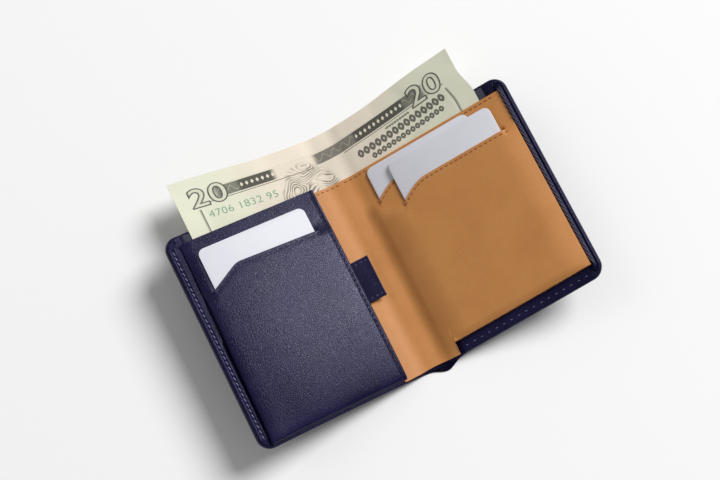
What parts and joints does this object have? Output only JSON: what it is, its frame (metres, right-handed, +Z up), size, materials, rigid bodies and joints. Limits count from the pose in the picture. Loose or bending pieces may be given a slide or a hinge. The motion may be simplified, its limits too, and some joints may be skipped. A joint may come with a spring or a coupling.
{
  "type": "bifold wallet",
  "caption": "Open bifold leather wallet with a full-width note sleeve, card slots on both leaves, a pull-tab pocket, cards and notes.",
  "frame": {"origin": "centre of the flat outer face of the spine, which the wallet rests on", "axes": "+X towards the right leaf, +Y towards the mouth of the note sleeve, +Z up out of the open wallet"},
  "size_m": [0.1734, 0.1289, 0.0276],
  "materials": {
    "navy_leather": "grained semi-matt",
    "tan_leather": "smooth vegetable-tanned satin",
    "sleeve_textile": "fine woven matt",
    "navy_thread": "twisted bonded thread",
    "tan_thread": "twisted bonded thread",
    "card_plastic": "smooth blank card",
    "note_paper": "printed cotton paper"
  },
  "bodies": {
    "spine": {"shell_spine": "navy_leather", "note_pocket_lining_spine": "sleeve_textile", "lining_spine": "tan_leather"},
    "left_leaf": {"shell_left": "navy_leather", "note_pocket_lining_left": "sleeve_textile", "lining_left": "tan_leather", "left_pocket_back": "navy_leather", "left_pocket_front": "navy_leather", "seam_left_rim": "navy_thread", "seam_left_slot": "navy_thread", "seam_left_panel_edge": "navy_thread"},
    "right_leaf": {"shell_right": "navy_leather", "note_pocket_lining_right": "sleeve_textile", "lining_right": "tan_leather", "right_pocket_middle": "tan_leather", "right_pocket_front": "tan_leather", "seam_right_rim": "navy_thread", "seam_right_bottom": "navy_thread", "seam_right_top": "tan_thread", "seam_right_rear_slot": "tan_thread", "seam_right_front_slot": "tan_thread"},
    "card_left": {"card_left": "card_plastic"},
    "card_right_front": {"card_right_front": "card_plastic"},
    "card_right_rear": {"card_right_rear": "card_plastic"},
    "stash": {"stash_card": "card_plastic", "stash_ribbon": "sleeve_textile", "pull_tab": "navy_leather", "seam_pull_tab": "navy_thread"},
    "notes_middle": {"note_back_mid": "note_paper", "note_front_mid": "note_paper"},
    "notes_left": {"note_back_left": "note_paper", "note_front_left": "note_paper"},
    "notes_right": {"note_back_right": "note_paper", "note_front_right": "note_paper"}
  },
  "joints": [
    {"name": "left_fold", "type": "hinge", "parent": "spine", "child": "left_leaf", "pos_m": [-0.00457, 0, 0.00245], "axis": [0, 1, 0], "range_deg": [-15.5, 74.5]},
    {"name": "right_fold", "type": "hinge", "parent": "spine", "child": "right_leaf", "pos_m": [0.00457, 0, 0.00245], "axis": [0, -1, 0], "range_deg": [-15.5, 74.5]},
    {"name": "card_left_slide", "type": "slide", "parent": "left_leaf", "child": "card_left", "axis": [0, 1, 0], "range_m": [0, 0.075]},
    {"name": "card_right_front_slide", "type": "slide", "parent": "right_leaf", "child": "card_right_front", "axis": [0, 1, 0], "range_m": [0, 0.075]},
    {"name": "card_right_rear_slide", "type": "slide", "parent": "right_leaf", "child": "card_right_rear", "axis": [0, 1, 0], "range_m": [0, 0.072]},
    {"name": "stash_slide", "type": "slide", "parent": "left_leaf", "child": "stash", "axis": [0.9636, 0, -0.2672], "range_m": [0, 0.01], "deforming": ["pull_tab", "seam_pull_tab", "stash_ribbon"]},
    {"name": "notes_slide", "type": "slide", "parent": "spine", "child": "notes_middle", "axis": [0, 1, 0], "range_m": [-0.044, 0.05]},
    {"name": "notes_left_fold", "type": "hinge", "parent": "notes_middle", "child": "notes_left", "pos_m": [-0.00457, 0, 0.00245], "axis": [0, 1, 0], "range_deg": [-15.5, 74.5]},
    {"name": "notes_right_fold", "type": "hinge", "parent": "notes_middle", "child": "notes_right", "pos_m": [0.00457, 0, 0.00245], "axis": [0, -1, 0], "range_deg": [-15.5, 74.5]}
  ],
  "couplings": [
    {"joint": "notes_left_fold", "follows": "left_fold", "ratio": 1},
    {"joint": "notes_right_fold", "follows": "right_fold", "ratio": 1}
  ]
}
